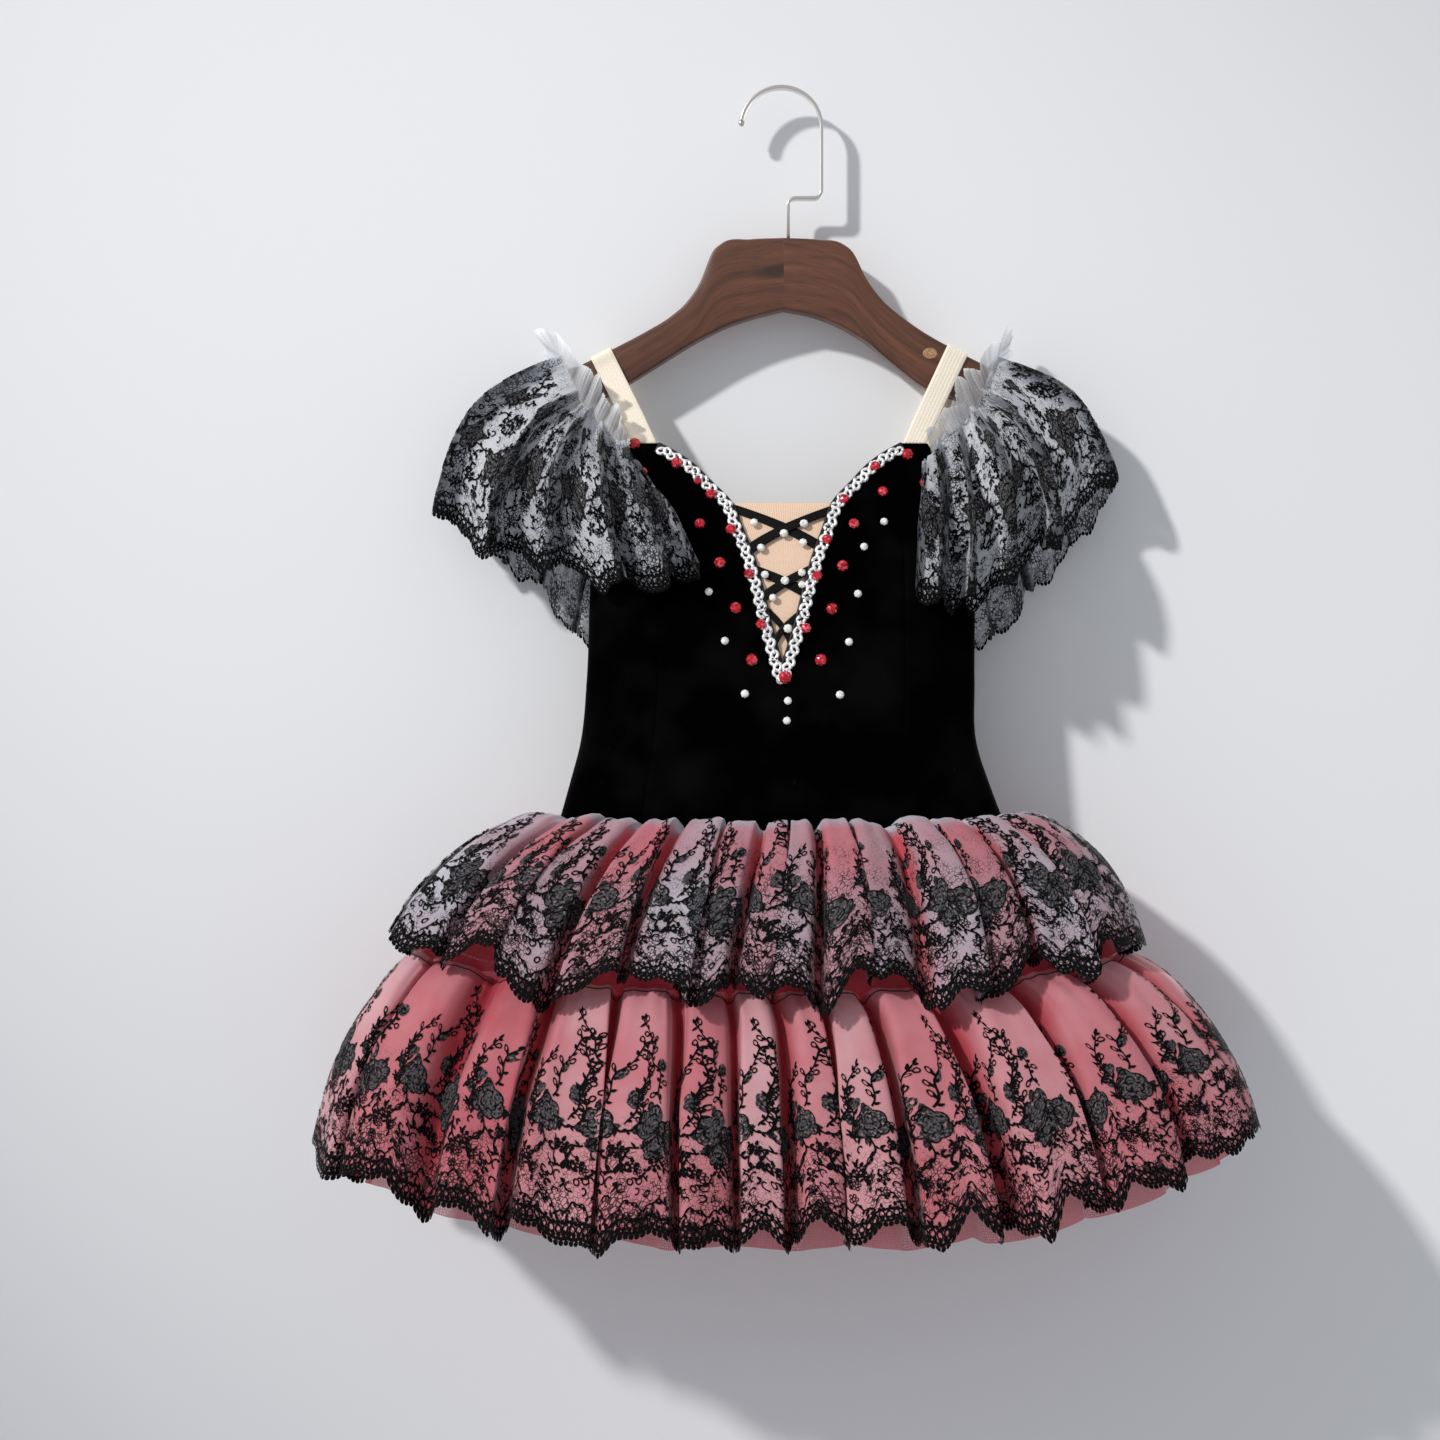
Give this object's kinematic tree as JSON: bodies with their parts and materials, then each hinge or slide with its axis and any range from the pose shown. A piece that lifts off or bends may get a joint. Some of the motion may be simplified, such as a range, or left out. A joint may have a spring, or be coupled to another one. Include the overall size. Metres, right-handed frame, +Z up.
{
  "type": "ballet tutu on a clothes hanger",
  "caption": "Child's ballet tutu with velvet bodice, lace sleeves and tiered lace skirt, hanging on a shaped wooden hanger with a metal hook.",
  "frame": {"origin": "inside of the hook's top, where the hook rests on the peg or rail that holds it", "axes": "+Z up, -Y out of the garment's front, +X to the right of someone who faces the front"},
  "size_m": [0.5762, 0.229, 0.7315],
  "materials": {
    "board_wood": "dark walnut, satin lacquer",
    "hook_metal": "satin nickel on steel strip",
    "velvet": "black cotton-backed velvet",
    "elastic": "ivory plush elastic",
    "mesh": "nude power mesh",
    "ribbon": "black satin ribbon",
    "braid": "silver and white scalloped braid with stones",
    "sleeve_lace": "black flowered lace on white tulle",
    "tulle": "white soft tulle",
    "tier_lace": "black flowered lace on white tulle over pink",
    "organza": "pink organza with black flowered lace",
    "net": "coral dress net"
  },
  "bodies": {
    "root": {"hanger_board": "board_wood", "hanger_hook": "hook_metal", "strap_l": "elastic", "strap_r": "elastic", "bodice_front_centre": "velvet", "bodice_side_front_l": "velvet", "bodice_side_front_r": "velvet", "bodice_back": "velvet", "front_insert": "mesh", "skirt_yoke_front": "organza", "skirt_yoke_back": "organza", "tier_upper_front": "tier_lace", "tier_upper_back": "tier_lace", "tier_lower_front": "organza", "tier_lower_back": "organza", "underskirt_front": "net", "underskirt_back": "net", "sleeve_ruffle_l": "sleeve_lace", "sleeve_ruffle_r": "sleeve_lace", "sleeve_frill_l": "tulle", "sleeve_frill_r": "tulle", "neck_trim_l": "braid", "neck_trim_r": "braid", "lacing_1a": "ribbon", "lacing_1b": "ribbon", "lacing_2a": "ribbon", "lacing_2b": "ribbon", "lacing_3a": "ribbon", "lacing_3b": "ribbon"}
  },
  "joints": []
}
